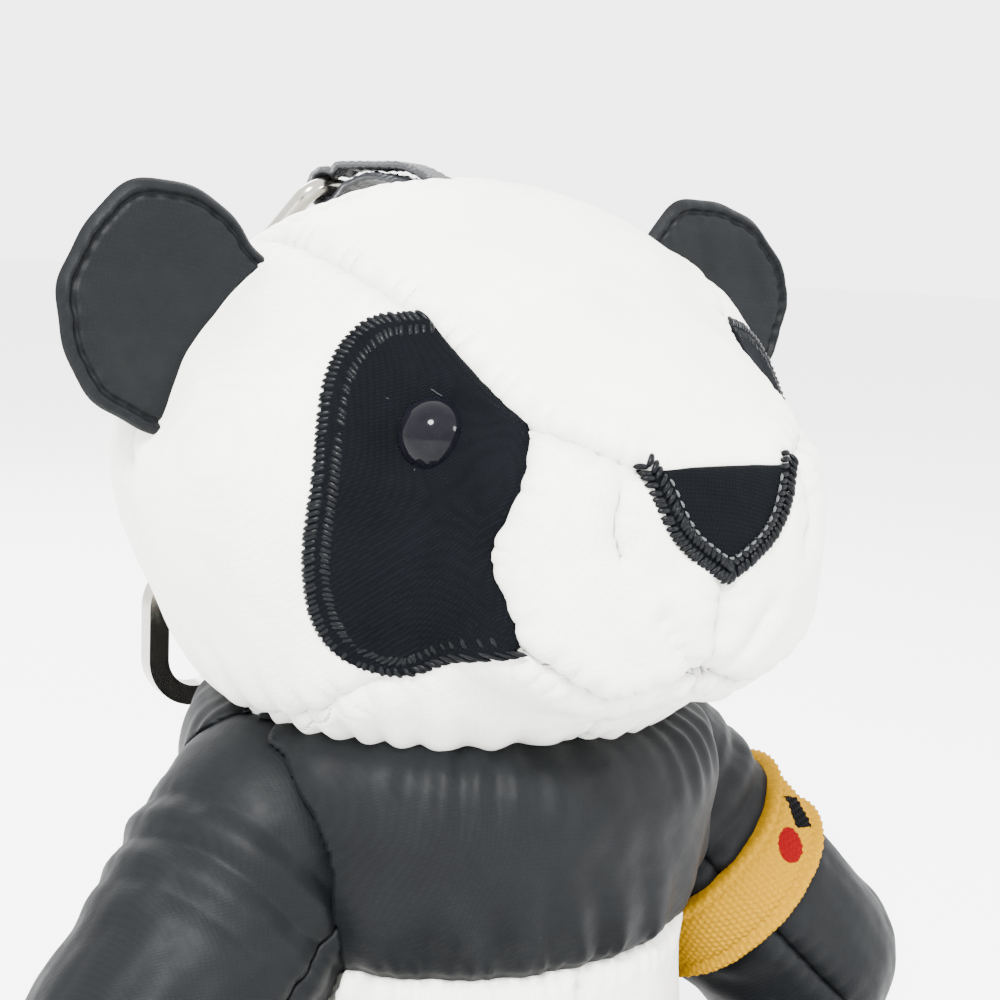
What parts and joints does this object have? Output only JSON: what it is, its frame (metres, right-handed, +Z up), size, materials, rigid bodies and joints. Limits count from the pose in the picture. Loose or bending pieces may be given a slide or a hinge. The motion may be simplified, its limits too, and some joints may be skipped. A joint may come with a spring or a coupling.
{
  "type": "plush keychain",
  "caption": "Sitting stuffed satin panda on a key clasp, with velvet eye patches, safety eyes, flexing limbs and a knitted arm band.",
  "frame": {"origin": "centre of the flat seat under the torso", "axes": "the panda faces -Y, +X is its left, +Z is up"},
  "size_m": [0.1084, 0.0876, 0.1229],
  "materials": {
    "white_satin": "satin",
    "black_satin": "satin",
    "black_velvet": "matte",
    "black_thread": "satin",
    "fibre_fill": "matte",
    "pellet_bag": "matte",
    "yellow_knit": "matte",
    "eye_plastic": "gloss",
    "washer_plastic": "matte",
    "label_tape": "satin",
    "black_tape": "satin",
    "hardware_chrome": "polished",
    "hardware_steel": "satin"
  },
  "bodies": {
    "plush": {"back_panel_left": "white_satin", "back_panel_right": "white_satin", "belly_panel": "white_satin", "body_stuffing": "fibre_fill", "care_label": "label_tape", "cheek_panel_left": "white_satin", "cheek_panel_right": "white_satin", "chin_panel_left": "white_satin", "chin_panel_right": "white_satin", "crown_tape": "black_tape", "ear_back_left": "black_satin", "ear_back_right": "black_satin", "ear_front_left": "black_satin", "ear_front_right": "black_satin", "eye_border_left": "black_thread", "eye_border_right": "black_thread", "eye_patch_left": "black_velvet", "eye_patch_right": "black_velvet", "eye_washer_left": "washer_plastic", "eye_washer_right": "washer_plastic", "forehead_gusset": "white_satin", "head_back_left": "white_satin", "head_back_right": "white_satin", "head_stuffing": "fibre_fill", "muzzle_panel_left": "white_satin", "muzzle_panel_right": "white_satin", "nose_border": "black_thread", "nose_patch": "black_velvet", "pellet_bag": "pellet_bag", "safety_eye_left": "eye_plastic", "safety_eye_right": "eye_plastic", "seat_base": "white_satin", "tail": "white_satin", "yoke_back": "black_satin", "yoke_front": "black_satin"},
    "arm_left": {"arm_inner_left": "black_satin", "arm_outer_left": "black_satin", "arm_stuffing_left": "fibre_fill"},
    "arm_right": {"arm_inner_right": "black_satin", "arm_outer_right": "black_satin", "arm_stuffing_right": "fibre_fill"},
    "leg_left": {"leg_lower_left": "black_satin", "leg_sole_left": "black_satin", "leg_stuffing_left": "fibre_fill", "leg_upper_left": "black_satin"},
    "leg_right": {"leg_lower_right": "black_satin", "leg_sole_right": "black_satin", "leg_stuffing_right": "fibre_fill", "leg_upper_right": "black_satin"},
    "arm_band": {"arm_band": "yellow_knit"},
    "link": {"oval_link": "hardware_chrome"},
    "strap": {"strap": "black_tape", "swivel_eye": "hardware_steel"},
    "clasp": {"clasp_body": "hardware_chrome", "gate_pin": "hardware_steel", "gate_spring": "hardware_steel"},
    "gate": {"clasp_gate": "hardware_chrome"}
  },
  "joints": [
    {"name": "arm_left_flex", "type": "hinge", "parent": "plush", "child": "arm_left", "pos_m": [0.022, -0.003, 0.054], "axis": [-0.3542, -0.9352, 0], "range_deg": [-5, 30], "stiffness_Nm_per_rad": 0.05},
    {"name": "arm_right_flex", "type": "hinge", "parent": "plush", "child": "arm_right", "pos_m": [-0.022, -0.003, 0.054], "axis": [-0.3542, 0.9352, 0], "range_deg": [-5, 30], "stiffness_Nm_per_rad": 0.05},
    {"name": "leg_left_flex", "type": "hinge", "parent": "plush", "child": "leg_left", "pos_m": [0.015, -0.012, 0.013], "axis": [-0.9474, -0.3201, 0], "range_deg": [0, 20], "stiffness_Nm_per_rad": 0.05},
    {"name": "leg_right_flex", "type": "hinge", "parent": "plush", "child": "leg_right", "pos_m": [-0.015, -0.012, 0.013], "axis": [-0.9474, 0.3201, 0], "range_deg": [0, 20], "stiffness_Nm_per_rad": 0.05},
    {"name": "band_turn", "type": "hinge", "parent": "arm_left", "child": "arm_band", "pos_m": [0.022, -0.003, 0.054], "axis": [0.664, -0.2515, -0.7042], "continuous": true},
    {"name": "link_swing", "type": "hinge", "parent": "plush", "child": "link", "pos_m": [-0.0062, 0.01874, 0.11853], "axis": [0.866, 0.5, 0], "range_deg": [0, 150]},
    {"name": "strap_swing", "type": "hinge", "parent": "link", "child": "strap", "pos_m": [-0.01534, 0.03457, 0.09934], "axis": [0.866, 0.5, 0], "range_deg": [-1, 120]},
    {"name": "clasp_swivel", "type": "hinge", "parent": "strap", "child": "clasp", "pos_m": [-0.01534, 0.03457, 0.07904], "axis": [0, 0, 1], "continuous": true},
    {"name": "gate_open", "type": "hinge", "parent": "clasp", "child": "gate", "pos_m": [-0.01054, 0.03457, 0.07004], "axis": [0, 1, 0], "range_deg": [0, 25], "stiffness_Nm_per_rad": 0.001, "springref_deg": -20.05}
  ]
}
